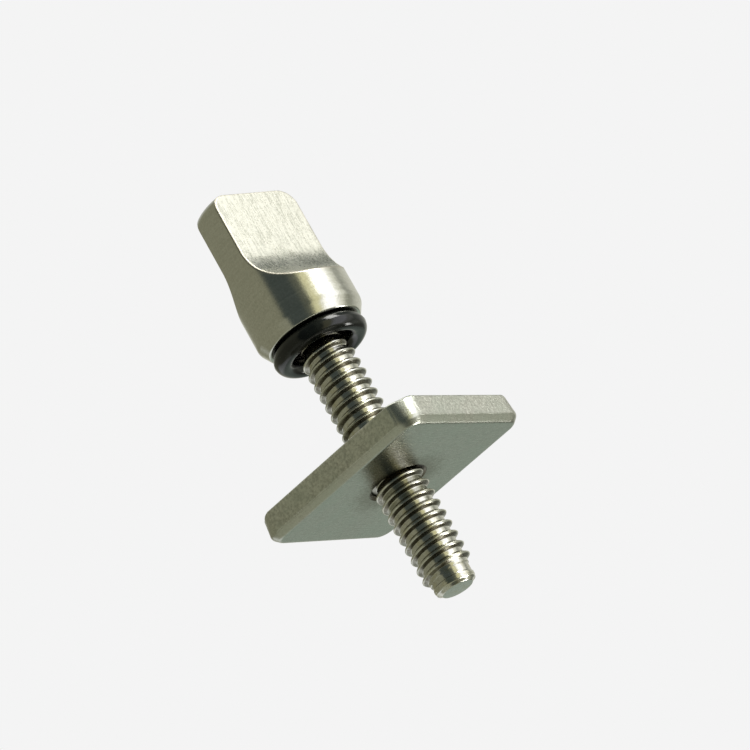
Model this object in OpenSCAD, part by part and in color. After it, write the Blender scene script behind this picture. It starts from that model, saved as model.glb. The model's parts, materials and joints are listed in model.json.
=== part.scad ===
// Thumb-turned clamp screw with a rubber sealing ring and a rectangular plate nut.
// Millimetres.  +Z runs along the screw axis towards the head.
// The origin is the centre of the plate nut's clamping face, the face towards the head.

/* [Thread] */

// Major diameter of the thread, No. 10
thread_d = 4.83; // [4.6:0.01:5]

// Threads per inch
threads_per_inch = 24; // [22:1:28]

// Radial running clearance between the screw and the nut
thread_clearance = 0.11; // [0.09:0.01:0.15]

/* [Plate nut] */

// Width of the plate along X
plate_x = 16.5; // [14:0.1:24]

// Width of the plate along Y
plate_y = 19; // [14:0.1:24]

// Plate thickness
plate_t = 2.6; // [2:0.1:4]

// Radius of the four upright corners
plate_corner_r = 1.75; // [1:0.05:3]

// Bevel along the edge of the face away from the head
plate_bevel = 0.6; // [0.2:0.05:0.9]

// Depth of the countersink at each end of the hole
hole_sink = 0.3; // [0.1:0.05:0.4]

/* [Screw] */

// Distance from the clamping face up to the underside of the head
head_z = 12.9; // [8:0.1:16]

// Length of screw showing past the clamping face
tip_length = 13.5; // [9:0.1:18]

// Diameter of the plain pilot at the tip
pilot_d = 3.84; // [3.8:0.02:4]

// Length of the plain pilot, its end chamfer included
pilot_l = 0.8; // [0.7:0.05:2]

/* [Head] */

// Bar diameter the head is turned from
head_d = 10.2; // [9.6:0.1:11]

// Height of the whole head
head_h = 14.6; // [13:0.1:18]

// Diameter of the flat underside
head_under_d = 8.9; // [8:0.1:9.2]

// Height of the taper between the underside and the bar
head_taper_h = 1.1; // [0.5:0.05:1.5]

// Thickness of the paddle between its two flats
paddle_t = 3.2; // [2.4:0.1:4.2]

// Height of the crease where the flats start, above the underside
crease_h = 8.5; // [7.5:0.1:9.5]

// Radius of the scoop under each flat
scoop_r = 4.8; // [4.6:0.1:5.4]

// Radius of the turned shoulder at the top of the paddle
crown_r = 1.6; // [1:0.1:3]

// Turn of the paddle's width away from +X, in degrees
paddle_turn = 170; // [0:1:179]

/* [Sealing ring] */

// Outside diameter of the ring
ring_d = 9; // [8.8:0.1:9.6]

// Section diameter of the rubber
ring_section = 1.78; // [1.5:0.01:1.8]

/* [Hidden] */

$fn = 96;

pitch = 25.4 / threads_per_inch;
thread_r = thread_d / 2;
thread_depth = 0.5413 * pitch;
root_r = thread_r - thread_depth;

// One thread as lines along the helix: [share of the pitch, share of the depth].
thread_lines = [[0, 0], [0.25, 0], [0.5625, 1], [0.6875, 1]];
lines = len(thread_lines);

// Steps per turn of the helix, and steps over which the thread fades in and out.
steps = 30;
fade_steps = 10;

tip_z = -tip_length;
pilot_r = pilot_d / 2;
pilot_top = tip_z + pilot_l;
tip_chamfer = 0.5;

neck_h = 1;
neck_r = root_r + 0.12;
neck_z = head_z - neck_h;

// How far the nut's thread is cut past each face of the plate.
cut_past = 2.2 * pitch;
sink_r = thread_r + thread_clearance + 0.2;

head_r = head_d / 2;
under_r = head_under_d / 2;
head_top = head_z + head_h;
crease_z = head_z + crease_h;
paddle_half = paddle_t / 2;

ring_r = ring_section / 2;
ring_path_r = ring_d / 2 - ring_r;

// How far one solid reaches into the next where they are joined or cut.
lap = 0.5;

steel = [0.72, 0.72, 0.68];
rubber = [0.06, 0.065, 0.07];

// ---- Thread -------------------------------------------------------------

// 0 at both ends of the helix, 1 once the thread has reached its full height.
function fade(i, last) = max(0, min(1, i / fade_steps, (last - i) / fade_steps));

// The point at step i along line j of a helix that starts at height z.
function helix_point(i, j, z, r, last) =
    let (turn = 360 * i / steps)
    let (reach = r + thread_lines[j][1] * thread_depth * fade(i, last))
    [reach * cos(turn), reach * sin(turn), z + pitch * (i / steps + thread_lines[j][0])];

function rim_point(i, z, r) = [r * cos(360 * i / steps), r * sin(360 * i / steps), z];

// Number of a helix point.  Line number `lines` is line 0 one turn further on.
function at(i, j, last) =
    j == lines ? at(i + steps, 0, last)
    : i <= last ? i * lines + j
    : last * lines + lines + i - last - 1;

// A closed right-hand threaded rod from z0 to z1 with flat ends.
// Helices start at whole multiples of the pitch, so any two rods share one helix.
module threaded_rod(z0, z1, r) {
    start = ceil((z0 + lap / 4) / pitch) * pitch;
    last = steps * (floor((z1 - lap / 4 - start) / pitch) - 1);
    low = (last + 1) * lines + steps;
    high = low + steps;

    helix = [for (i = [0 : last], j = [0 : lines - 1]) helix_point(i, j, start, r, last)];
    run_on = [for (i = [last + 1 : last + steps]) helix_point(i, 0, start, r, last)];
    low_rim = [for (i = [0 : steps - 1]) rim_point(i, z0, r)];
    high_rim = [for (i = [0 : steps - 1]) rim_point(i, z1, r)];

    skin_up = [
        for (i = [0 : last - 1], j = [0 : lines - 1])
            [at(i, j, last), at(i, j + 1, last), at(i + 1, j + 1, last)]
    ];
    skin_down = [
        for (i = [0 : last - 1], j = [0 : lines - 1])
            [at(i, j, last), at(i + 1, j + 1, last), at(i + 1, j, last)]
    ];
    low_wall = [
        for (i = [0 : steps - 2])
            [low + i, at(i, 0, last), at(i + 1, 0, last), low + i + 1]
    ];
    low_seam = concat(
        [high - 1, at(steps - 1, 0, last)],
        [for (j = [lines : -1 : 0]) at(0, j, last)],
        [low]
    );
    high_wall = [
        for (i = [1 : steps - 1])
            [at(last + i, 0, last), high + i, high + (i + 1) % steps, at(last + i + 1, 0, last)]
    ];
    high_seam = concat(
        [at(last + 1, 0, last)],
        [for (j = [0 : lines]) at(last, j, last)],
        [high, high + 1]
    );
    low_cap = [for (i = [0 : steps - 1]) low + i];
    high_cap = [for (i = [steps - 1 : -1 : 0]) high + i];

    polyhedron(
        points = concat(helix, run_on, low_rim, high_rim),
        faces = concat(
            skin_up, skin_down, low_wall, high_wall,
            [low_seam, high_seam, low_cap, high_cap]
        )
    );
}

// ---- Thumb screw --------------------------------------------------------

module turned_head() {
    translate([0, 0, head_z])
        cylinder(h = head_taper_h, r1 = under_r, r2 = head_r);
    translate([0, 0, head_z + head_taper_h])
        cylinder(h = head_h - head_taper_h - crown_r, r = head_r);
    translate([0, 0, head_z + head_taper_h])
        cylinder(h = head_h - head_taper_h, r = head_r - crown_r);
    translate([0, 0, head_top - crown_r])
        rotate_extrude()
            translate([head_r - crown_r, 0])
                circle(r = crown_r);
}

// What is milled away on one side of the paddle: the flat above, the scoop below.
module paddle_cut() {
    translate([-head_d, paddle_half, crease_z])
        cube([2 * head_d, head_d, head_h]);
    translate([-head_d, paddle_half + scoop_r, crease_z])
        rotate([0, 90, 0])
            cylinder(h = 2 * head_d, r = scoop_r);
}

module head() {
    difference() {
        turned_head();
        for (side = [0, 180])
            rotate([0, 0, paddle_turn + side])
                paddle_cut();
    }
}

module pilot() {
    translate([0, 0, tip_z])
        cylinder(h = tip_chamfer, r1 = pilot_r - tip_chamfer, r2 = pilot_r);
    translate([0, 0, tip_z + tip_chamfer])
        cylinder(h = pilot_l - tip_chamfer, r = pilot_r);
}

module thumb_screw() {
    color(steel) {
        head();
        translate([0, 0, neck_z])
            cylinder(h = neck_h + lap, r = neck_r);
        threaded_rod(pilot_top - lap, neck_z + lap, root_r);
        pilot();
    }
}

// ---- Sealing ring -------------------------------------------------------

module sealing_ring() {
    color(rubber)
        translate([0, 0, head_z - ring_r])
            rotate_extrude()
                translate([ring_path_r, 0])
                    circle(r = ring_r);
}

// ---- Plate nut ----------------------------------------------------------

// One bar of the plate between two corners, bevelled along its lower edges.
module plate_bar(width, length) {
    half = width / 2;
    rotate([90, 0, 0])
        linear_extrude(height = length - 2 * plate_corner_r, center = true)
            polygon([
                [-half, 0],
                [-half, plate_bevel - plate_t],
                [plate_bevel - half, -plate_t],
                [half - plate_bevel, -plate_t],
                [half, plate_bevel - plate_t],
                [half, 0]
            ]);
}

module plate_corner() {
    translate([0, 0, -plate_t])
        cylinder(h = plate_bevel, r1 = plate_corner_r - plate_bevel, r2 = plate_corner_r);
    translate([0, 0, plate_bevel - plate_t])
        cylinder(h = plate_t - plate_bevel, r = plate_corner_r);
}

module plate_blank() {
    reach_x = plate_x / 2 - plate_corner_r;
    reach_y = plate_y / 2 - plate_corner_r;
    plate_bar(plate_x, plate_y);
    rotate([0, 0, 90])
        plate_bar(plate_y, plate_x);
    for (x = [-reach_x, reach_x], y = [-reach_y, reach_y])
        translate([x, y, 0])
            plate_corner();
}

module hole_sinks() {
    deep = sink_r - hole_sink;
    translate([0, 0, -hole_sink])
        cylinder(h = 2 * hole_sink, r1 = deep, r2 = sink_r + hole_sink);
    translate([0, 0, -plate_t - hole_sink])
        cylinder(h = 2 * hole_sink, r1 = sink_r + hole_sink, r2 = deep);
}

module plate_nut() {
    color(steel)
        difference() {
            plate_blank();
            threaded_rod(-plate_t - cut_past, cut_past, root_r + thread_clearance);
            hole_sinks();
        }
}

thumb_screw();
sealing_ring();
plate_nut();
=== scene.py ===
"""Looks for the thumb screw, its sealing ring and its plate nut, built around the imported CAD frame."""

import json
import math

import bpy
import numpy as np
from mathutils import Matrix, Vector


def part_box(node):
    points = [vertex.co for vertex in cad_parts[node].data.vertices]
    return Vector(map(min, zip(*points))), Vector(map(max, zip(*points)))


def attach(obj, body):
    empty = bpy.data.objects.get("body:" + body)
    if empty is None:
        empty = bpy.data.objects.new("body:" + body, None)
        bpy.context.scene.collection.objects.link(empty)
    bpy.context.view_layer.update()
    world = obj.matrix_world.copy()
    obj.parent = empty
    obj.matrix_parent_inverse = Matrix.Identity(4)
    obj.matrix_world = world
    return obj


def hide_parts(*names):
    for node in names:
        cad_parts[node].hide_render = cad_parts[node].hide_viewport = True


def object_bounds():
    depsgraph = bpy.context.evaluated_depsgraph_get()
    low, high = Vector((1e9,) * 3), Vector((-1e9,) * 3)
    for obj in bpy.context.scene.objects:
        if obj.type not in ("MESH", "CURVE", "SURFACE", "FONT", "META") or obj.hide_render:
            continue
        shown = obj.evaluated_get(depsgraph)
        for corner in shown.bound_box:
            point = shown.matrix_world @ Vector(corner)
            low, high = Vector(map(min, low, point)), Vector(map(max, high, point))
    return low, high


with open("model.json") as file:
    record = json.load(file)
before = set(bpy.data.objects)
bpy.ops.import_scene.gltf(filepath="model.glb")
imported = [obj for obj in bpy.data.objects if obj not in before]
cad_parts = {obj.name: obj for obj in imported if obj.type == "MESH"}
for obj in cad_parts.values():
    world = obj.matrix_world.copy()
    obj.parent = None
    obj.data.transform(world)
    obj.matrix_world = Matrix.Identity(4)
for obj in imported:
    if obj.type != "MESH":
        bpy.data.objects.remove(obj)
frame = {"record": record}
cad_low, cad_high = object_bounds()

MM = 0.001
TAU = 2 * math.pi


# ---- Sizes in millimetres: from the frame, or else the same as in the CAD --

def box_mm(node):
    """The lowest and highest corners of a CAD node."""
    low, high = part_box(node)
    return np.array(low) / MM, np.array(high) / MM


screw_low, screw_high = box_mm("thumb_screw")
ring_low, ring_high = box_mm("sealing_ring")
plate_low, plate_high = box_mm("plate_nut")

COUPLING = frame["record"]["behaviour"]["couplings"][0]
PITCH = TAU / COUPLING["ratio"] / MM
THREAD_R = 4.83 / 2
THREAD_DEPTH = 0.5413 * PITCH
ROOT_R = THREAD_R - THREAD_DEPTH
CLEARANCE = 0.11

# How far one CAD solid of the screw reaches into the next.
LAP = 0.5

TIP_Z = screw_low[2]
TOP_Z = screw_high[2]
HEAD_Z = ring_high[2]
HEAD_R = (screw_high[1] - screw_low[1]) / 2
UNDER_R = 4.45
TAPER_H = 1.1
CROWN_R = 1.6
PADDLE_HALF = 1.6
CREASE_Z = HEAD_Z + 8.5
SCOOP_R = 4.8
PADDLE_TURN = math.radians(170)

PILOT_R = 1.92
PILOT_L = 0.8
PILOT_CHAMFER = 0.5
NECK_H = 1
NECK_R = ROOT_R + 0.12
NECK_Z = HEAD_Z - NECK_H

RING_R = (ring_high[2] - ring_low[2]) / 2
RING_PATH_R = ring_high[0] - RING_R
RING_Z = (ring_high[2] + ring_low[2]) / 2

PLATE_T = -plate_low[2]
PLATE_CORNER_R = 1.75
PLATE_BEVEL = 0.6
SINK_R = THREAD_R + CLEARANCE + 0.2

# Broken edges that the CAD leaves sharp, by radius.
PADDLE_EDGE = 0.14
TURNED_EDGE = 0.12
PLATE_TOP_EDGE = 0.28
PLATE_BEVEL_EDGE = 0.22

# How far the plate's upright corners roll inwards at the top, and over what height.
CORNER_ROLL = 0.34
CORNER_ROLL_H = 1.4


# ---- Mesh helpers ---------------------------------------------------------

def make_object(name, points, faces, body, node, material, attributes=None):
    """A smooth-shaded object from points in millimetres, riding on a body in place of a CAD node."""
    mesh = bpy.data.meshes.new(name)
    mesh.from_pydata((np.asarray(points) * MM).tolist(), [], faces)
    mesh.validate()
    mesh.shade_smooth()
    for label, values in (attributes or {}).items():
        layer = mesh.attributes.new(label, "FLOAT", "POINT")
        layer.data.foreach_set("value", np.asarray(values, np.float32))
    mesh.materials.append(material)
    obj = bpy.data.objects.new(name, mesh)
    bpy.context.scene.collection.objects.link(obj)
    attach(obj, body)
    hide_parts(node)
    return obj


def grid_faces(rows, columns, closed_rows=False):
    """Quads of a grid whose columns close on themselves, and its rows too if asked."""
    faces = []
    for row in range(rows if closed_rows else rows - 1):
        here = row * columns
        above = (row + 1) % rows * columns
        for column in range(columns):
            after = (column + 1) % columns
            faces.append((here + column, here + after, above + after, above + column))
    return faces


def gradient(field, points):
    """The slope of a field at each point."""
    step = 1e-4
    slopes = []
    for axis in range(3):
        shift = np.zeros(3)
        shift[axis] = step
        slopes.append(field(points + shift) - field(points - shift))
    return np.stack(slopes, 1) / (2 * step)


def onto_surface(field, points, rounds):
    """The points moved along the slope to where the field is zero."""
    for _ in range(rounds):
        slope = gradient(field, points)
        length = np.maximum((slope * slope).sum(1), 1e-6)
        points = points - slope * (field(points) / length)[:, None]
    return points


def relaxed(points, quads):
    """Each point moved halfway to the mean of its neighbours."""
    total = np.zeros_like(points)
    number = np.zeros(len(points))
    for i in range(4):
        for j in ((i + 1) % 4, (i - 1) % 4):
            np.add.at(total, quads[:, i], points[quads[:, j]])
            np.add.at(number, quads[:, i], 1)
    return (points + total / number[:, None]) / 2


def surface_nets(field, low, high, cell):
    """Points and quads of the surface where a field is zero, with its inside negative."""
    axes = [np.arange(low[i] - cell, high[i] + 2 * cell, cell) for i in range(3)]
    grid = np.stack(np.meshgrid(*axes, indexing="ij"), -1)
    inside = field(grid.reshape(-1, 3)).reshape(grid.shape[:3]) < 0

    # One point in each cell that the surface passes through.
    nx, ny, nz = inside.shape
    count = np.zeros((nx - 1, ny - 1, nz - 1), int)
    for dx in (0, 1):
        for dy in (0, 1):
            for dz in (0, 1):
                count += inside[dx:nx - 1 + dx, dy:ny - 1 + dy, dz:nz - 1 + dz]
    mixed = (count > 0) & (count < 8)
    number = np.full(mixed.shape, -1)
    number[mixed] = np.arange(mixed.sum())
    cells = np.argwhere(mixed)
    points = np.stack([axes[i][cells[:, i]] for i in range(3)], 1) + cell / 2
    points = onto_surface(field, points, 4)

    # One quad round each grid edge that crosses the surface, facing outwards.
    quads = []
    for axis in range(3):
        first, second = [i for i in range(3) if i != axis]
        start = np.moveaxis(inside, axis, 0)[:-1]
        end = np.moveaxis(inside, axis, 0)[1:]
        crossing = np.argwhere(start != end)
        edge = np.empty_like(crossing)
        edge[:, axis], edge[:, first], edge[:, second] = crossing.T
        corners = []
        for step_first, step_second in ((-1, -1), (0, -1), (0, 0), (-1, 0)):
            at = edge.copy()
            at[:, first] += step_first
            at[:, second] += step_second
            corners.append(number[at[:, 0], at[:, 1], at[:, 2]])
        quad = np.stack(corners, 1)
        outward = start[crossing[:, 0], crossing[:, 1], crossing[:, 2]]
        flip = ~outward if axis != 1 else outward
        quad[flip] = quad[flip][:, ::-1]
        quads.append(quad)
    quads = np.concatenate(quads)

    for _ in range(3):
        points = relaxed(points, quads)
        points = onto_surface(field, points, 2)
    return points, quads


def round_join(a, b, radius):
    """The fields a and b cut together, with their shared edge rounded."""
    reach = np.hypot(np.maximum(a + radius, 0), np.maximum(b + radius, 0))
    return np.minimum(np.maximum(a, b), -radius) + reach


# ---- Thread shape ---------------------------------------------------------

# One thread of the CAD, as (share of the pitch, share of the depth).
THREAD_LINES = ((0, 0), (0.25, 0), (0.5625, 1), (0.6875, 1), (1, 0))

# Share of the pitch that crest and root are rounded over, and of the depth that fills the root.
THREAD_ROUNDING = 0.13
ROOT_FILL = 0.2

# Turns over which the thread fades in and out.
FADE_TURNS = 1 / 3


def thread_height(share):
    """Height of the thread, 0 to 1, at a share of the pitch, with crest and root rounded."""
    places, heights = zip(*THREAD_LINES)
    total = 0
    samples = np.linspace(-0.5, 0.5, 9) * THREAD_ROUNDING
    for offset in samples:
        total = total + np.interp((share + offset) % 1, places, heights)
    height = total / len(samples)
    return ROOT_FILL + (1 - ROOT_FILL) * np.clip((height - ROOT_FILL) / (1 - ROOT_FILL), 0, 1)


def thread_radius(turn, z, root, first_turn=None, turns=None):
    """Radius of a threaded surface at an angle and height, fading at its ends if they are given."""
    share = (z / PITCH - turn / TAU) % 1
    height = thread_height(share)
    if first_turn is not None:
        along = z / PITCH - share - first_turn
        fade_in = np.clip(along / FADE_TURNS, 0, 1)
        fade_out = np.clip((turns - along) / FADE_TURNS, 0, 1)
        height = height * fade_in * fade_out
    return root + THREAD_DEPTH * height


# ---- Material helpers -----------------------------------------------------

class Nodes:
    """Short ways to lay out a node tree."""

    def __init__(self, tree):
        self.tree = tree
        tree.nodes.clear()

    def add(self, kind, **settings):
        node = self.tree.nodes.new(kind)
        for key, value in settings.items():
            setattr(node, key, value)
        return node

    def link(self, source, target):
        """Links a socket to the target, or sets the target to a plain number or colour."""
        if isinstance(source, (int, float, tuple)):
            target.default_value = source
        else:
            self.tree.links.new(source, target)

    def attribute(self, name):
        return self.add("ShaderNodeAttribute", attribute_name=name).outputs["Fac"]

    def math(self, operation, a, b=0.0, c=0.0):
        node = self.add("ShaderNodeMath", operation=operation)
        for socket, value in zip(node.inputs, (a, b, c)):
            self.link(value, socket)
        return node.outputs[0]

    def plus(self, a, b):
        return self.math("ADD", a, b)

    def times(self, a, b):
        return self.math("MULTIPLY", a, b)

    def noise(self, vector, scale, detail, roughness):
        node = self.add("ShaderNodeTexNoise")
        self.link(vector, node.inputs["Vector"])
        node.inputs["Scale"].default_value = scale
        node.inputs["Detail"].default_value = detail
        node.inputs["Roughness"].default_value = roughness
        return node.outputs["Fac"]

    def stretch(self, vector, scale, turn=0.0):
        node = self.add("ShaderNodeMapping")
        self.link(vector, node.inputs["Vector"])
        node.inputs["Rotation"].default_value = (0, 0, turn)
        node.inputs["Scale"].default_value = scale
        return node.outputs[0]

    def mix(self, factor, a, b):
        """A colour between two colours."""
        node = self.add("ShaderNodeMix", data_type="RGBA")
        self.link(factor, node.inputs[0])
        self.link(a, node.inputs[6])
        self.link(b, node.inputs[7])
        return node.outputs[2]

    def blend(self, factor, a, b):
        """A number between two numbers."""
        node = self.add("ShaderNodeMix", data_type="FLOAT")
        self.link(factor, node.inputs[0])
        self.link(a, node.inputs[2])
        self.link(b, node.inputs[3])
        return node.outputs[0]

    def span(self, value, low, high, to_low=0.0, to_high=1.0, kind="SMOOTHSTEP"):
        """A value carried from one range to another, easing in and out."""
        node = self.add("ShaderNodeMapRange", interpolation_type=kind)
        self.link(value, node.inputs["Value"])
        node.inputs["From Min"].default_value = low
        node.inputs["From Max"].default_value = high
        node.inputs["To Min"].default_value = to_low
        node.inputs["To Max"].default_value = to_high
        return node.outputs[0]

    def ramp(self, value, low, high, to_low, to_high):
        """A value carried from one range to another in a straight line."""
        return self.span(value, low, high, to_low, to_high, "LINEAR")

    def bump(self, height, strength, distance, normal=None):
        node = self.add("ShaderNodeBump")
        node.inputs["Strength"].default_value = strength
        node.inputs["Distance"].default_value = distance
        self.link(height, node.inputs["Height"])
        if normal is not None:
            self.link(normal, node.inputs["Normal"])
        return node.outputs[0]


def new_material(name):
    """A material, its nodes, its shader, and the part's coordinates in millimetres."""
    material = bpy.data.materials.new(name)
    material.use_nodes = True
    nodes = Nodes(material.node_tree)
    shader = nodes.add("ShaderNodeBsdfPrincipled")
    output = nodes.add("ShaderNodeOutputMaterial")
    nodes.link(shader.outputs[0], output.inputs[0])
    coordinates = nodes.add("ShaderNodeTexCoord").outputs["Object"]
    in_mm = nodes.stretch(coordinates, (1 / MM, 1 / MM, 1 / MM))
    return material, nodes, shader, in_mm


# ---- Materials ------------------------------------------------------------

STEEL = (0.66, 0.655, 0.60, 1)
STEEL_DULL = (0.50, 0.495, 0.44, 1)
STEEL_BRIGHT = (0.84, 0.83, 0.75, 1)
STAIN_AND_REFLECTION_DARK = (0.20, 0.18, 0.13, 1)
STEEL_WARM = (0.42, 0.33, 0.20, 1)
STEEL_TARNISHED = (0.47, 0.43, 0.24, 1)
# Near-black: oxide on the thread's flanks, and painted shade on them, under the ring and in the plate's
# hole.
OXIDE_AND_SHADE = (0.10, 0.085, 0.055, 1)

MILLED_DULL = (0.60, 0.60, 0.53, 1)
PLATE_DULL = (0.40, 0.40, 0.35, 1)
PLATE_BRIGHT = (0.70, 0.70, 0.63, 1)
PLATE_GREENISH = (0.47, 0.51, 0.44, 1)

RUBBER = (0.006, 0.0075, 0.007, 1)
RUBBER_BLOOM = (0.020, 0.024, 0.022, 1)


def head_steel():
    """Stainless steel with rings on the turned faces, lengthwise grain on the milled ones, and painted
    shade on the underside inside the ring.
    """
    material, nodes, shader, mm = new_material("screw_head_steel")
    milled = nodes.attribute("milled")
    edge = nodes.attribute("edge")
    under_ring_shade = nodes.attribute("under_ring_shade")
    turned_lines = nodes.noise(nodes.stretch(mm, (0.3, 0.3, 8)), 1.0, 6, 0.65)
    grain = nodes.noise(nodes.stretch(mm, (9, 9, 0.9), -PADDLE_TURN), 1.0, 5, 0.7)
    streaks = nodes.noise(nodes.stretch(mm, (2.6, 2.6, 0.35), -PADDLE_TURN), 1.0, 4, 0.6)
    speckle = nodes.noise(mm, 5.0, 5, 0.75)
    cloud = nodes.noise(mm, 0.55, 3, 0.5)

    turned_tone = nodes.blend(0.65, nodes.span(turned_lines, 0.35, 0.7), nodes.span(speckle, 0.32, 0.68))
    turned_colour = nodes.mix(turned_tone, STEEL_DULL, STEEL)
    milled_tone = nodes.blend(0.45, nodes.span(grain, 0.40, 0.57), nodes.span(streaks, 0.40, 0.57))
    milled_tone = nodes.blend(0.4, milled_tone, nodes.span(speckle, 0.42, 0.58))
    milled_tone = nodes.span(milled_tone, 0.12, 0.75)
    milled_colour = nodes.mix(milled_tone, MILLED_DULL, STEEL_BRIGHT)
    colour = nodes.mix(milled, turned_colour, milled_colour)
    colour = nodes.mix(nodes.times(edge, 0.35), colour, STEEL_WARM)
    # Painted shade: the underside inside the ring goes almost black, and its roughness is raised below.
    colour = nodes.mix(nodes.times(under_ring_shade, 0.85), colour, OXIDE_AND_SHADE)
    nodes.link(colour, shader.inputs["Base Color"])
    shader.inputs["Metallic"].default_value = 1

    turned_rough = nodes.ramp(turned_lines, 0.3, 0.7, 0.09, 0.17)
    milled_rough = nodes.ramp(nodes.blend(0.4, grain, speckle), 0.35, 0.65, 0.2, 0.32)
    rough = nodes.blend(milled, turned_rough, milled_rough)
    rough = nodes.plus(rough, nodes.ramp(cloud, 0.35, 0.7, 0.0, 0.06))
    rough = nodes.plus(rough, nodes.times(nodes.plus(under_ring_shade, edge), 0.25))
    nodes.link(rough, shader.inputs["Roughness"])

    normal = nodes.bump(nodes.blend(milled, turned_lines, grain), 0.18, 0.012 * MM)
    normal = nodes.bump(speckle, 0.35, 0.016 * MM, normal)
    nodes.link(normal, shader.inputs["Normal"])
    return material


def thread_steel():
    """Rolled thread: polished crests and roots, oxide and painted shade on the flanks and the neck, and
    tarnish in patches.
    """
    material, nodes, shader, mm = new_material("screw_thread_steel")
    depth = nodes.attribute("depth")
    helix_grain = nodes.noise(nodes.stretch(mm, (0.8, 0.8, 12)), 1.0, 5, 0.6)
    patch = nodes.noise(mm, 1.4, 4, 0.65)
    fine = nodes.noise(mm, 9.0, 3, 0.7)

    # The flanks and the neck darken in patches: partly oxide, partly painted shade between the threads
    # and under the ring.
    below_crest = nodes.span(depth, 0.1, 0.24)
    above_root = nodes.span(depth, 0.68, 0.77, 1.0, 0.1)
    flank = nodes.times(below_crest, above_root)
    flank_oxide_and_shade = nodes.times(flank, nodes.span(patch, 0.3, 0.65, 0.55, 1.0))
    worn = nodes.mix(nodes.span(fine, 0.35, 0.65), STEEL_DULL, STEEL)
    tarnished = nodes.mix(nodes.span(patch, 0.48, 0.7, 0.0, 0.5), worn, STEEL_TARNISHED)
    colour = nodes.mix(nodes.times(flank_oxide_and_shade, 0.85), tarnished, OXIDE_AND_SHADE)
    nodes.link(colour, shader.inputs["Base Color"])
    shader.inputs["Metallic"].default_value = 1

    rough = nodes.plus(nodes.ramp(helix_grain, 0.3, 0.7, 0.12, 0.2), nodes.times(flank_oxide_and_shade, 0.12))
    nodes.link(rough, shader.inputs["Roughness"])

    normal = nodes.bump(helix_grain, 0.12, 0.01 * MM)
    normal = nodes.bump(fine, 0.08, 0.006 * MM, normal)
    nodes.link(normal, shader.inputs["Normal"])
    return material


def plate_steel():
    """Tumbled plate: pitted walls, smoother satin faces, a darkening round the hole that is partly stain
    and partly painted reflection, and painted shade in the hole.
    """
    material, nodes, shader, mm = new_material("plate_steel")
    wall = nodes.attribute("wall")
    edge = nodes.attribute("edge")
    pits = nodes.noise(mm, 3.6, 5, 0.72)
    fine = nodes.noise(mm, 12.0, 3, 0.7)
    cloud = nodes.noise(mm, 0.35, 3, 0.55)
    face_grain = nodes.noise(nodes.stretch(mm, (1.2, 9, 1.2)), 1.0, 4, 0.6)

    split = nodes.add("ShaderNodeSeparateXYZ")
    nodes.link(mm, split.inputs[0])
    x_squared = nodes.math("POWER", split.outputs[0], 2.0)
    y_squared = nodes.math("POWER", split.outputs[1], 2.0)
    from_axis = nodes.math("SQRT", nodes.plus(x_squared, y_squared))
    ragged = nodes.plus(from_axis, nodes.ramp(pits, 0.3, 0.7, -0.7, 0.7))

    pitted = nodes.times(nodes.span(pits, 0.36, 0.64), nodes.blend(wall, 0.35, 1.0))
    colour = nodes.mix(nodes.span(fine, 0.38, 0.62), PLATE_DULL, STEEL_DULL)
    colour = nodes.mix(pitted, colour, PLATE_BRIGHT)
    colour = nodes.mix(nodes.span(cloud, 0.35, 0.7, 0.0, 0.45), colour, PLATE_GREENISH)
    # A ragged darkening round the hole on both faces: partly stain, partly a painted dark reflection of
    # the screw.
    colour = nodes.mix(nodes.span(ragged, SINK_R, SINK_R + 2.4, 0.6, 0.0), colour, STAIN_AND_REFLECTION_DARK)
    # Painted shade: the hole and its countersink go almost black.
    colour = nodes.mix(nodes.span(from_axis, SINK_R + 0.02, SINK_R + 0.1, 0.9, 0.0), colour, OXIDE_AND_SHADE)
    nodes.link(colour, shader.inputs["Base Color"])
    shader.inputs["Metallic"].default_value = 1

    face_rough = nodes.ramp(face_grain, 0.3, 0.7, 0.24, 0.34)
    wall_rough = nodes.ramp(pits, 0.3, 0.7, 0.46, 0.27)
    edge_rough = nodes.ramp(fine, 0.3, 0.7, 0.25, 0.33)
    rough = nodes.blend(edge, nodes.blend(wall, face_rough, wall_rough), edge_rough)
    nodes.link(rough, shader.inputs["Roughness"])

    normal = nodes.bump(nodes.times(pits, nodes.blend(wall, 0.12, 1.0)), 0.6, 0.11 * MM)
    normal = nodes.bump(fine, 0.25, 0.012 * MM, normal)
    nodes.link(normal, shader.inputs["Normal"])
    return material


def ring_rubber():
    """Moulded black rubber with a faint bloom and fine grain."""
    material, nodes, shader, mm = new_material("ring_rubber")
    fine = nodes.noise(mm, 8.0, 4, 0.7)
    bloom = nodes.noise(mm, 0.8, 3, 0.6)
    colour = nodes.mix(nodes.span(bloom, 0.4, 0.8), RUBBER, RUBBER_BLOOM)
    nodes.link(colour, shader.inputs["Base Color"])
    uneven = nodes.plus(nodes.times(fine, 0.5), nodes.times(bloom, 0.5))
    nodes.link(nodes.ramp(uneven, 0.35, 0.65, 0.05, 0.12), shader.inputs["Roughness"])
    shader.inputs["Specular IOR Level"].default_value = 0.42
    nodes.link(nodes.bump(fine, 0.2, 0.02 * MM), shader.inputs["Normal"])
    return material


# ---- Screw head -----------------------------------------------------------

HEAD_CELL = 0.088

# The direction in which the paddle is thin.
ACROSS = np.array([-math.sin(PADDLE_TURN), math.cos(PADDLE_TURN), 0])


def turned_field(points):
    """The head as it leaves the lathe: negative inside, zero on the surface."""
    rho = np.hypot(points[:, 0], points[:, 1])
    up = points[:, 2] - HEAD_Z
    flare = HEAD_R - UNDER_R
    taper = ((rho - UNDER_R) * TAPER_H - up * flare) / math.hypot(TAPER_H, flare)
    side = round_join(rho - HEAD_R, taper, TURNED_EDGE)
    side = round_join(side, -up, TURNED_EDGE)
    return round_join(side, points[:, 2] - TOP_Z, CROWN_R)


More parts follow.
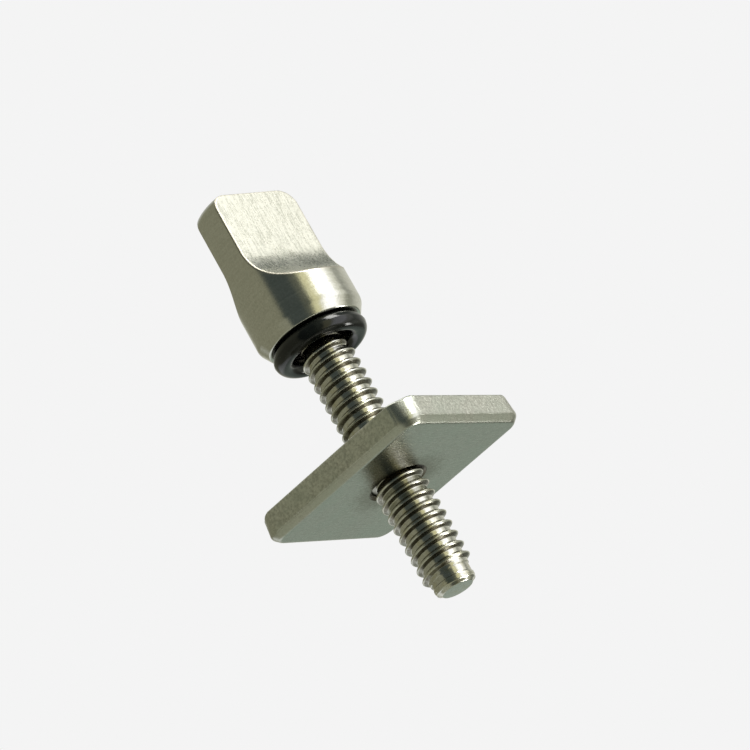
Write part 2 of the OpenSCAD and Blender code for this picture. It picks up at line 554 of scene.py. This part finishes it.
def milled_field(points):
    """What milling leaves between the two flats and scoops."""
    out = np.abs(points @ ACROSS)
    below = np.maximum(CREASE_Z - points[:, 2], 0)
    return SCOOP_R - np.hypot(PADDLE_HALF + SCOOP_R - out, below)


def head_field(points):
    return round_join(turned_field(points), milled_field(points), PADDLE_EDGE)


def build_head(material):
    low = (-HEAD_R, -HEAD_R, HEAD_Z)
    high = (HEAD_R, HEAD_R, TOP_Z)
    points, quads = surface_nets(head_field, low, high, HEAD_CELL)
    rho = np.hypot(points[:, 0], points[:, 1])
    underside = points[:, 2] < HEAD_Z + 0.1
    past_edge = milled_field(points) - turned_field(points)
    attributes = {
        "milled": np.clip(past_edge / 0.12 + 0.5, 0, 1),
        "edge": np.exp(-(past_edge / 0.16) ** 2),
        # Painted shade under the ring: 1 on the underside inside the ring's path, fading outwards.
        "under_ring_shade": np.clip((RING_PATH_R - rho) / 0.4, 0, 1) * underside,
    }
    head = make_object(
        "screw_head", points, quads.tolist(), "screw", "thumb_screw", material, attributes,
    )
    normals = gradient(head_field, points)
    normals /= np.linalg.norm(normals, axis=1)[:, None]
    head.data.normals_split_custom_set_from_vertices(normals.tolist())


# ---- Screw shank ----------------------------------------------------------

SHANK_COLUMNS = 96
SHANK_ROW_H = 0.042

# Height of the broken edge round the tip's end face.
END_EDGE_H = 0.02


def plain_radius(z):
    """Radius of the tip's plain pilot and of the plain neck; it falls away along the thread."""
    above_tip = z - TIP_Z
    pilot = PILOT_R - np.clip(PILOT_CHAMFER - above_tip, 0, None)
    pilot = np.where(above_tip < PILOT_L, pilot, ROOT_R - 3 * (above_tip - PILOT_L))
    neck = np.where(z > NECK_Z, NECK_R, NECK_R - 2 * (NECK_Z - z))
    return np.maximum(np.maximum(pilot, neck), 0)


def shank_radius(turn, z):
    """Radius of the shank at an angle and height: the thread, or the plain part where it is wider."""
    lead_in = TIP_Z + PILOT_L - LAP
    first_turn = math.ceil((lead_in + LAP / 4) / PITCH)
    turns = math.floor((NECK_Z + LAP - LAP / 4) / PITCH - first_turn) - 1
    plain = sum(plain_radius(z + shift) for shift in (-0.06, -0.03, 0, 0.03, 0.06)) / 5
    threaded = thread_radius(turn, z, ROOT_R, first_turn, turns)
    threaded = np.where(z > lead_in, threaded, 0)
    return np.maximum(plain, threaded)


def build_shank(material):
    heights = np.arange(TIP_Z + END_EDGE_H, HEAD_Z + 0.2, SHANK_ROW_H)
    turns = np.arange(SHANK_COLUMNS) * TAU / SHANK_COLUMNS
    turn, z = np.meshgrid(turns, heights)
    radius = shank_radius(turn, z)

    # The end face, as rings of (radius, height above the tip).
    rim = float(radius[0].mean())
    end_rings = [(0.02, 0.0), (rim - 0.09, 0.0), (rim - 0.03, 0.006)]
    end_points = [
        (r * math.cos(t), r * math.sin(t), TIP_Z + lift) for r, lift in end_rings for t in turns
    ]
    wall_points = np.stack([radius * np.cos(turn), radius * np.sin(turn), z], -1).reshape(-1, 3)
    points = np.concatenate([np.array(end_points), wall_points])
    rows = len(heights) + len(end_rings)
    faces = grid_faces(rows, SHANK_COLUMNS)
    faces.append(tuple(range(SHANK_COLUMNS - 1, -1, -1)))
    faces.append(tuple((rows - 1) * SHANK_COLUMNS + i for i in range(SHANK_COLUMNS)))

    # 0 on the crests and the plain tip, 1 at the CAD's root, 0.5 on the neck, where the material then
    # paints shade under the ring.
    depth = np.clip((THREAD_R - radius) / THREAD_DEPTH, 0, 1)
    plain_tip = (z < TIP_Z + PILOT_L) & (radius < PILOT_R + 0.02)
    depth = np.where(plain_tip, 0.0, depth)
    depth = np.where(z > NECK_Z - 0.2, 0.5, depth).reshape(-1)
    attributes = {"depth": np.concatenate([np.zeros(len(end_points)), depth])}
    make_object(
        "screw_shank", points, faces, "screw", "thumb_screw", material, attributes,
    )


# ---- Sealing ring ---------------------------------------------------------

RING_AROUND = 168
RING_SECTION = 56

# The mould's parting line, inside and outside: how far it stands proud, and its width as an angle.
SEAM_H = 0.02
SEAM_WIDTH = 0.045


def build_ring(material):
    turns = np.arange(RING_AROUND) * TAU / RING_AROUND
    angles = np.arange(RING_SECTION) * TAU / RING_SECTION
    turn, angle = np.meshgrid(turns, angles)
    seam = np.exp(-(np.sin(angle) / SEAM_WIDTH) ** 2)
    radius = RING_R - SEAM_H + SEAM_H * seam
    reach = RING_PATH_R + radius * np.cos(angle)
    z = RING_Z + radius * np.sin(angle)
    points = np.stack([reach * np.cos(turn), reach * np.sin(turn), z], -1).reshape(-1, 3)
    faces = grid_faces(RING_SECTION, RING_AROUND, closed_rows=True)
    make_object("ring", points, faces, "ring", "sealing_ring", material)


# ---- Plate nut ------------------------------------------------------------

QUARTERS = ((1, 1), (-1, 1), (-1, -1), (1, -1))
ARC_STEPS = 12
SIDE_STEPS = 26
BEND_EDGE_HS = 6
HOLE_ROWS = 64


def plate_outline(inset):
    """The plate's outline moved inwards, the same number of points whatever the inset."""
    half_x = plate_high[0] - inset
    half_y = plate_high[1] - inset
    radius = max(PLATE_CORNER_R - inset, 0.05)
    centres = [np.array([x * (half_x - radius), y * (half_y - radius)]) for x, y in QUARTERS]
    points = []
    for quarter in range(4):
        start = quarter * TAU / 4
        centre = centres[quarter]
        following = centres[(quarter + 1) % 4]
        for i in range(ARC_STEPS + 1):
            angle = start + TAU / 4 * i / ARC_STEPS
            points.append(centre + radius * np.array([math.cos(angle), math.sin(angle)]))
        leave = radius * np.array([math.cos(start + TAU / 4), math.sin(start + TAU / 4)])
        for i in range(1, SIDE_STEPS):
            points.append(centre + (following - centre) * i / SIDE_STEPS + leave)
    return np.array(points)


def rounded_profile(corners):
    """Points of a polyline (inset, z) whose inner corners are rounded by their third value."""
    points = [np.array(corners[0][:2])]
    for before, here, after in zip(corners, corners[1:], corners[2:]):
        here_point = np.array(here[:2])
        back = np.array(before[:2]) - here_point
        ahead = np.array(after[:2]) - here_point
        back = back / np.linalg.norm(back)
        ahead = ahead / np.linalg.norm(ahead)
        for i in range(BEND_EDGE_HS + 1):
            t = i / BEND_EDGE_HS
            points.append(here_point + here[2] * (back * (1 - t) ** 2 + ahead * t ** 2))
    points.append(np.array(corners[-1][:2]))
    return points


def build_plate(material):
    outline = plate_outline(0)
    on_arc = np.abs(outline[:, 0]) > plate_high[0] - PLATE_CORNER_R + 0.2
    on_arc &= np.abs(outline[:, 1]) > plate_high[1] - PLATE_CORNER_R + 0.2
    turn = np.arctan2(outline[:, 1], outline[:, 0])
    circle = np.stack([np.cos(turn), np.sin(turn)], 1)
    loops, walls, edges = [], [], []

    # Towards the upper face, the four corners roll inwards, most of all at their middle.
    corner_centre = np.sign(outline) * (plate_high[:2] - PLATE_CORNER_R)
    from_centre = (outline - corner_centre) * on_arc[:, None]
    bulge = np.abs(from_centre).min(1) * math.sqrt(2) / PLATE_CORNER_R
    inward = -from_centre / PLATE_CORNER_R * bulge[:, None]

    def rolled(points, z):
        depth = np.clip(1 + z / CORNER_ROLL_H, 0, 1)
        return points + inward * CORNER_ROLL * depth ** 2

    def add(points, z, wall, edge):
        """Adds a loop, with how far it is wall and edge; on the corners both count as edge."""
        loops.append(np.column_stack([points, np.full(len(points), z)]))
        worn = on_arc & (wall + edge > 0.1)
        walls.append(np.where(worn, 0.0, wall))
        edges.append(np.where(worn, 1.0, edge))

    face_inset = PLATE_BEVEL + 0.5
    bevel_z = PLATE_BEVEL - PLATE_T
    profile = rounded_profile([
        (face_inset, 0, 0),
        (0, 0, PLATE_TOP_EDGE),
        (0, bevel_z, PLATE_BEVEL_EDGE),
        (PLATE_BEVEL, -PLATE_T, PLATE_BEVEL_EDGE),
        (face_inset, -PLATE_T, 0),
    ])
    lip = circle * (SINK_R + 0.05)
    inner = plate_outline(face_inset)
    face_shares = (0, 0.08, 0.25, 0.45, 0.7, 0.9)

    # The loops run from the hole across the upper face, down the side, back to the hole and up it.
    for share in face_shares:
        add(lip * (1 - share) + inner * share, 0.0, 0.0, 0.0)
    for inset, z in profile:
        on_wall = float(bevel_z - 0.02 < z < -0.02)
        slanted = float(0.02 < inset < PLATE_BEVEL + 0.05 and z < 0)
        loop = plate_outline(inset)
        if inset < face_inset:
            loop = rolled(loop, z)
        add(loop, z, on_wall, slanted * 0.6)
    for share in reversed(face_shares):
        add(lip * (1 - share) + inner * share, -PLATE_T, 0.0, 0.0)
    for i in range(HOLE_ROWS + 1):
        z = -PLATE_T + PLATE_T * i / HOLE_ROWS
        sink = SINK_R - np.minimum(z + PLATE_T, -z)
        radius = np.maximum(thread_radius(turn, z, ROOT_R + CLEARANCE), sink)
        add(circle * radius[:, None], z, 0.0, 0.4)

    points = np.concatenate(loops)
    faces = [face[::-1] for face in grid_faces(len(loops), len(outline), closed_rows=True)]
    attributes = {"wall": np.concatenate(walls), "edge": np.concatenate(edges)}
    make_object("plate", points, faces, "nut", "plate_nut", material, attributes)


build_head(head_steel())
build_shank(thread_steel())
build_ring(ring_rubber())
build_plate(plate_steel())


# ---- Studio, in metres ----------------------------------------------------

CENTRE = (cad_low + cad_high) / 2
PALE = (0.905, 0.905, 0.905, 1)

FLOOR_SIZE = 12
FLOOR_Z = -0.32
FLOOR_DIM = (0.80, 0.80, 0.86, 1)
FLOOR_PALE = (0.83, 0.83, 0.89, 1)

CAMERA_AZIMUTH = math.radians(-148.24)
CAMERA_ELEVATION = math.radians(-20.70)
CAMERA_ROLL = math.radians(-29.57)
CAMERA_AIM = Vector((0.00149, -0.00241, 0.00703))
CAMERA_DISTANCE = 0.2960
CAMERA_LENS = 164.0
CAMERA_SENSOR = 36


def towards(azimuth, elevation):
    """Unit vector in a compass direction and at an elevation, in radians."""
    level = math.cos(elevation)
    return Vector((math.cos(azimuth) * level, math.sin(azimuth) * level, math.sin(elevation)))


def build_floor():
    """A plain pale floor well below the part, which hangs free."""
    bpy.ops.mesh.primitive_plane_add(size=FLOOR_SIZE, location=(0, 0, FLOOR_Z))
    floor = bpy.context.object
    floor.name = "studio_floor"
    material, nodes, shader, mm = new_material("floor_paint")
    shade = nodes.noise(mm, 0.004, 2, 0.5)
    nodes.link(nodes.mix(shade, FLOOR_DIM, FLOOR_PALE), shader.inputs["Base Color"])
    shader.inputs["Roughness"].default_value = 0.8
    shader.inputs["Emission Color"].default_value = (1, 1, 1, 1)
    shader.inputs["Emission Strength"].default_value = 0.15
    floor.data.materials.append(material)
    floor.visible_glossy = False
    floor.visible_diffuse = False


def build_surroundings():
    """Soft panels of light round the part, placed by direction; the camera sees a plain backdrop."""
    world = bpy.data.worlds.new("studio_tent")
    bpy.context.scene.world = world
    world.use_nodes = True
    nodes = Nodes(world.node_tree)
    direction = nodes.add("ShaderNodeTexCoord").outputs["Generated"]
    split = nodes.add("ShaderNodeSeparateXYZ")
    nodes.link(direction, split.inputs[0])
    azimuth = nodes.math("ARCTAN2", split.outputs[1], split.outputs[0])
    elevation = nodes.math("ARCSINE", split.outputs[2])

    def step(angle, at, blur, before, after):
        """Goes smoothly from one value to the other where an angle passes a limit in degrees."""
        return nodes.span(angle, math.radians(at - blur), math.radians(at + blur), before, after)

    def panel(colour, under, azimuth_at, half_width, side_blur, low, high, end_blur):
        """Lays a soft-edged panel, in degrees, over the colour under it."""
        away = nodes.math("SUBTRACT", azimuth, math.radians(azimuth_at))
        away = nodes.math("ABSOLUTE", nodes.math("WRAP", away, math.pi, -math.pi))
        side = step(away, half_width, side_blur, 1, 0)
        above = step(elevation, low, end_blur, 0, 1)
        below = step(elevation, high, end_blur, 1, 0)
        cover = nodes.times(side, nodes.times(above, below))
        return nodes.mix(cover, under, colour)

    walls = (0.30, 0.30, 0.22, 1)

    # Below on the far side, and the dark below the camera.
    tone = panel((0.42, 0.43, 0.34, 1), walls, 120, 85, 20, -120, -38, 8)
    tone = panel((0.10, 0.10, 0.08, 1), tone, -148, 48, 18, -120, -48, 8)

    # Opposite the camera: lit walls, a greenish floor with lighter and darker patches, a dark ceiling.
    tone = panel((0.44, 0.45, 0.40, 1), tone, -20, 50, 25, -14, 90, 10)
    tone = panel((0.74, 0.74, 0.66, 1), tone, 14, 38, 14, -8, 34, 10)
    tone = panel((0.52, 0.53, 0.48, 1), tone, 45, 24, 8, 28, 62, 8)
    tone = panel((0.38, 0.44, 0.39, 1), tone, 30, 36, 12, -75, -8, 8)
    tone = panel((0.90, 0.93, 0.92, 1), tone, 68, 14, 8, -48, -6, 8)
    tone = panel((0.21, 0.21, 0.18, 1), tone, 3, 10, 6, -60, -10, 6)
    tone = panel((0.60, 0.62, 0.54, 1), tone, -27, 13, 7, -50, -18, 8)
    tone = panel((0.16, 0.175, 0.16, 1), tone, -28, 36, 10, 38, 90, 6)

    # A dark opening on either side of the camera.
    tone = panel((0.13, 0.14, 0.11, 1), tone, -136, 20, 8, -90, 90, 5)
    tone = panel((0.07, 0.085, 0.08, 1), tone, -161, 23, 5, -70, 60, 10)

    # The key panel, its warm margin and its bright middle.
    tone = panel((1.12, 1.12, 1.02, 1), tone, -80, 35, 8, -50, 35, 6)
    tone = panel((1.0, 0.96, 0.60, 1), tone, -110, 10, 5, -50, 32, 6)
    tone = panel((2.0, 2.0, 2.06, 1), tone, -79, 17, 6, -44, 33, 4)

    # Two small strong lights that glint on the ring.
    tone = panel((11, 11, 10.5, 1), tone, -84, 14, 3, 27, 60, 3)
    tone = panel((11, 11, 10.5, 1), tone, -22, 14, 3, -68, -43, 3)

    light = nodes.add("ShaderNodeBackground")
    nodes.link(tone, light.inputs[0])
    backdrop = nodes.add("ShaderNodeBackground")
    backdrop.inputs[0].default_value = PALE
    seen = nodes.add("ShaderNodeLightPath").outputs["Is Camera Ray"]
    choice = nodes.add("ShaderNodeMixShader")
    nodes.link(seen, choice.inputs[0])
    nodes.link(light.outputs[0], choice.inputs[1])
    nodes.link(backdrop.outputs[0], choice.inputs[2])
    output = nodes.add("ShaderNodeOutputWorld")
    nodes.link(choice.outputs[0], output.inputs[0])


def build_lamp(name, azimuth, elevation, distance, size, power):
    """A soft round lamp aimed at the part from a compass direction, in degrees."""
    toward = towards(math.radians(azimuth), math.radians(elevation))
    data = bpy.data.lights.new(name, "AREA")
    data.shape = "DISK"
    data.size = size
    data.energy = power
    lamp = bpy.data.objects.new(name, data)
    lamp.location = CENTRE + toward * distance
    lamp.rotation_mode = "QUATERNION"
    lamp.rotation_quaternion = toward.to_track_quat("Z", "Y")
    bpy.context.scene.collection.objects.link(lamp)


def build_camera():
    """Looks up at the part from below and one side, with the frame rolled."""
    back = towards(CAMERA_AZIMUTH, CAMERA_ELEVATION)
    data = bpy.data.cameras.new("camera")
    data.sensor_width = CAMERA_SENSOR
    data.lens = CAMERA_LENS
    camera = bpy.data.objects.new("camera", data)
    camera.rotation_mode = "QUATERNION"
    level = back.to_track_quat("Z", "Y")
    camera.rotation_quaternion = level @ Matrix.Rotation(CAMERA_ROLL, 3, "Z").to_quaternion()
    camera.location = CAMERA_AIM + back * CAMERA_DISTANCE
    bpy.context.scene.collection.objects.link(camera)
    bpy.context.scene.camera = camera


build_floor()
build_surroundings()
build_lamp("top_lamp", azimuth=20, elevation=86, distance=0.9, size=0.5, power=1.5)
build_camera()
bpy.context.scene.view_settings.view_transform = "Standard"
